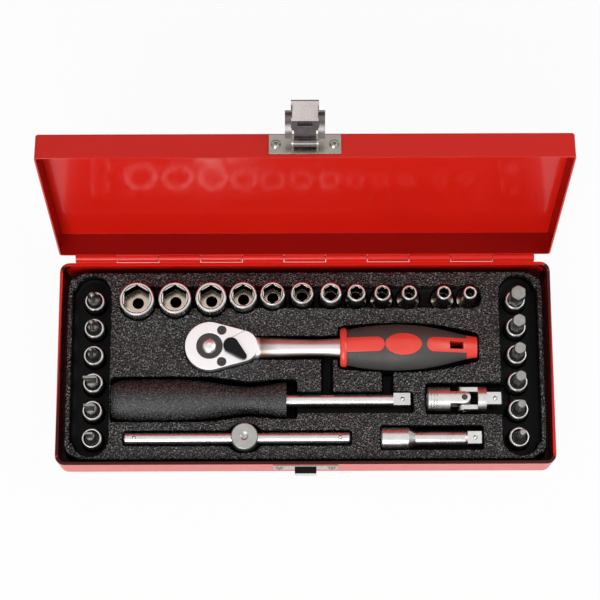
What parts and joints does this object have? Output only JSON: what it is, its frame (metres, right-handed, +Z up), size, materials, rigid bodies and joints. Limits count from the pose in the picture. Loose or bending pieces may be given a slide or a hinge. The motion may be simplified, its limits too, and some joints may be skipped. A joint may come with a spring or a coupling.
{
  "type": "socket wrench set in case",
  "caption": "Hinged sheet-metal case with a latch, holding a ratchet, spinner handle, T-bar, extension, universal joint, sockets and bit sockets in a moulded tray.",
  "frame": {"origin": "middle of the case's underside", "axes": "+X to the right as seen from the front, +Y to the hinge at the back, +Z up"},
  "size_m": [0.255, 0.1552, 0.1495],
  "materials": {
    "red_paint": "gloss",
    "nickel": "polished",
    "tray_plastic": "grained",
    "satin_steel": "satin",
    "dark_steel": "blackened",
    "chrome": "polished",
    "black_plastic": "fine grain",
    "red_plastic": "gloss",
    "black_rubber": "satin"
  },
  "bodies": {
    "case": {"case_base": "red_paint", "hinge_base_leaf": "red_paint", "hinge_pin": "red_paint", "strike_plate": "nickel", "strike_rivets": "nickel", "tool_tray": "tray_plastic"},
    "lid": {"case_lid": "red_paint", "hinge_lid_leaf": "red_paint", "latch_plate": "nickel", "latch_pin": "nickel", "latch_rivets": "nickel"},
    "hasp": {"latch_hasp": "nickel"},
    "ratchet": {"ratchet_body": "satin_steel", "ratchet_cover": "satin_steel", "ratchet_cover_screws": "dark_steel", "ratchet_handle": "red_plastic", "ratchet_grip": "black_rubber"},
    "ratchet_drive": {"ratchet_gear": "dark_steel", "ratchet_ball": "chrome"},
    "release_button": {"ratchet_button": "chrome"},
    "reverse_lever": {"ratchet_lever": "black_plastic"},
    "pawl": {"ratchet_pawl": "dark_steel"},
    "spinner": {"spinner_grip": "black_plastic", "spinner_shaft": "chrome", "spinner_ball": "chrome"},
    "tbar": {"tbar_rod": "chrome", "tbar_balls": "chrome"},
    "tbar_sliding_head": {"tbar_head": "satin_steel"},
    "extension": {"extension_bar": "chrome", "extension_ball": "chrome"},
    "universal_joint": {"ujoint_socket": "chrome"},
    "joint_cross": {"ujoint_cross": "chrome"},
    "joint_drive": {"ujoint_drive": "chrome", "ujoint_ball": "chrome"},
    "socket_13": {"socket_13": "chrome"},
    "socket_12": {"socket_12": "chrome"},
    "socket_11": {"socket_11": "chrome"},
    "socket_10": {"socket_10": "chrome"},
    "socket_9": {"socket_9": "chrome"},
    "socket_8": {"socket_8": "chrome"},
    "socket_7": {"socket_7": "chrome"},
    "socket_6": {"socket_6": "chrome"},
    "socket_5_5": {"socket_5_5": "chrome"},
    "socket_5": {"socket_5": "chrome"},
    "socket_4_5": {"socket_4_5": "chrome"},
    "socket_4": {"socket_4": "chrome"},
    "bit_cross_3": {"bit_cross_3": "chrome"},
    "bit_cross_2": {"bit_cross_2": "chrome"},
    "bit_cross_1": {"bit_cross_1": "chrome"},
    "bit_slot_7": {"bit_slot_7": "chrome"},
    "bit_slot_5": {"bit_slot_5": "chrome"},
    "bit_slot_4": {"bit_slot_4": "chrome"},
    "bit_hex_7": {"bit_hex_7": "chrome"},
    "bit_hex_6": {"bit_hex_6": "chrome"},
    "bit_hex_5_5": {"bit_hex_5_5": "chrome"},
    "bit_hex_5": {"bit_hex_5": "chrome"},
    "bit_hex_4": {"bit_hex_4": "chrome"},
    "bit_hex_3": {"bit_hex_3": "chrome"}
  },
  "joints": [
    {"name": "lid_hinge", "type": "hinge", "parent": "case", "child": "lid", "pos_m": [0, 0.0558, 0.02315], "axis": [-1, 0, 0], "range_deg": [-100, 0]},
    {"name": "hasp_hinge", "type": "hinge", "parent": "lid", "child": "hasp", "pos_m": [0, 0.08104, 0.13375], "axis": [-1, 0, 0], "range_deg": [-115, 0]},
    {"name": "ratchet_lift", "type": "slide", "parent": "case", "child": "ratchet", "axis": [0, 0, 1], "range_m": [0, 0.045]},
    {"name": "ratchet_turn", "type": "hinge", "parent": "ratchet", "child": "ratchet_drive", "pos_m": [-0.04935, 0.0087, 0.0175], "axis": [0, 0, 1], "continuous": true},
    {"name": "release_press", "type": "slide", "parent": "ratchet_drive", "child": "release_button", "axis": [0, 0, -1], "range_m": [0, 0.0015], "stiffness_N_per_m": 400, "springref_m": -0.002},
    {"name": "reverse_lever_turn", "type": "hinge", "parent": "ratchet", "child": "reverse_lever", "pos_m": [-0.03815, 0.0087, 0.0175], "axis": [0, 0, 1], "range_deg": [0, 84]},
    {"name": "pawl_rock", "type": "hinge", "parent": "ratchet", "child": "pawl", "pos_m": [-0.03815, 0.0087, 0.0175], "axis": [0, 0, 1], "range_deg": [-10, 0]},
    {"name": "spinner_lift", "type": "slide", "parent": "case", "child": "spinner", "axis": [0, 0, 1], "range_m": [0, 0.045]},
    {"name": "tbar_lift", "type": "slide", "parent": "case", "child": "tbar", "axis": [0, 0, 1], "range_m": [0, 0.045]},
    {"name": "tbar_head_slide", "type": "slide", "parent": "tbar", "child": "tbar_sliding_head", "axis": [1, 0, 0], "range_m": [-0.002, 0.002]},
    {"name": "extension_lift", "type": "slide", "parent": "case", "child": "extension", "axis": [0, 0, 1], "range_m": [0, 0.045]},
    {"name": "universal_joint_lift", "type": "slide", "parent": "case", "child": "universal_joint", "axis": [0, 0, 1], "range_m": [0, 0.045]},
    {"name": "joint_swing", "type": "hinge", "parent": "universal_joint", "child": "joint_cross", "pos_m": [0.08165, -0.0182, 0.015], "axis": [0, 0, 1], "range_deg": [-6, 6]},
    {"name": "joint_fold", "type": "hinge", "parent": "joint_cross", "child": "joint_drive", "pos_m": [0.08165, -0.0182, 0.015], "axis": [0, -1, 0], "range_deg": [0, 40]},
    {"name": "socket_13_lift", "type": "slide", "parent": "case", "child": "socket_13", "axis": [0, 0, 1], "range_m": [0, 0.045]},
    {"name": "socket_12_lift", "type": "slide", "parent": "case", "child": "socket_12", "axis": [0, 0, 1], "range_m": [0, 0.045]},
    {"name": "socket_11_lift", "type": "slide", "parent": "case", "child": "socket_11", "axis": [0, 0, 1], "range_m": [0, 0.045]},
    {"name": "socket_10_lift", "type": "slide", "parent": "case", "child": "socket_10", "axis": [0, 0, 1], "range_m": [0, 0.045]},
    {"name": "socket_9_lift", "type": "slide", "parent": "case", "child": "socket_9", "axis": [0, 0, 1], "range_m": [0, 0.045]},
    {"name": "socket_8_lift", "type": "slide", "parent": "case", "child": "socket_8", "axis": [0, 0, 1], "range_m": [0, 0.045]},
    {"name": "socket_7_lift", "type": "slide", "parent": "case", "child": "socket_7", "axis": [0, 0, 1], "range_m": [0, 0.045]},
    {"name": "socket_6_lift", "type": "slide", "parent": "case", "child": "socket_6", "axis": [0, 0, 1], "range_m": [0, 0.045]},
    {"name": "socket_5_5_lift", "type": "slide", "parent": "case", "child": "socket_5_5", "axis": [0, 0, 1], "range_m": [0, 0.045]},
    {"name": "socket_5_lift", "type": "slide", "parent": "case", "child": "socket_5", "axis": [0, 0, 1], "range_m": [0, 0.045]},
    {"name": "socket_4_5_lift", "type": "slide", "parent": "case", "child": "socket_4_5", "axis": [0, 0, 1], "range_m": [0, 0.045]},
    {"name": "socket_4_lift", "type": "slide", "parent": "case", "child": "socket_4", "axis": [0, 0, 1], "range_m": [0, 0.045]},
    {"name": "bit_cross_3_lift", "type": "slide", "parent": "case", "child": "bit_cross_3", "axis": [0, 0, 1], "range_m": [0, 0.045]},
    {"name": "bit_cross_2_lift", "type": "slide", "parent": "case", "child": "bit_cross_2", "axis": [0, 0, 1], "range_m": [0, 0.045]},
    {"name": "bit_cross_1_lift", "type": "slide", "parent": "case", "child": "bit_cross_1", "axis": [0, 0, 1], "range_m": [0, 0.045]},
    {"name": "bit_slot_7_lift", "type": "slide", "parent": "case", "child": "bit_slot_7", "axis": [0, 0, 1], "range_m": [0, 0.045]},
    {"name": "bit_slot_5_lift", "type": "slide", "parent": "case", "child": "bit_slot_5", "axis": [0, 0, 1], "range_m": [0, 0.045]},
    {"name": "bit_slot_4_lift", "type": "slide", "parent": "case", "child": "bit_slot_4", "axis": [0, 0, 1], "range_m": [0, 0.045]},
    {"name": "bit_hex_7_lift", "type": "slide", "parent": "case", "child": "bit_hex_7", "axis": [0, 0, 1], "range_m": [0, 0.045]},
    {"name": "bit_hex_6_lift", "type": "slide", "parent": "case", "child": "bit_hex_6", "axis": [0, 0, 1], "range_m": [0, 0.045]},
    {"name": "bit_hex_5_5_lift", "type": "slide", "parent": "case", "child": "bit_hex_5_5", "axis": [0, 0, 1], "range_m": [0, 0.045]},
    {"name": "bit_hex_5_lift", "type": "slide", "parent": "case", "child": "bit_hex_5", "axis": [0, 0, 1], "range_m": [0, 0.045]},
    {"name": "bit_hex_4_lift", "type": "slide", "parent": "case", "child": "bit_hex_4", "axis": [0, 0, 1], "range_m": [0, 0.045]},
    {"name": "bit_hex_3_lift", "type": "slide", "parent": "case", "child": "bit_hex_3", "axis": [0, 0, 1], "range_m": [0, 0.045]}
  ],
  "couplings": [
    {"joint": "pawl_rock", "follows": "reverse_lever_turn", "ratio": -0.11905}
  ]
}
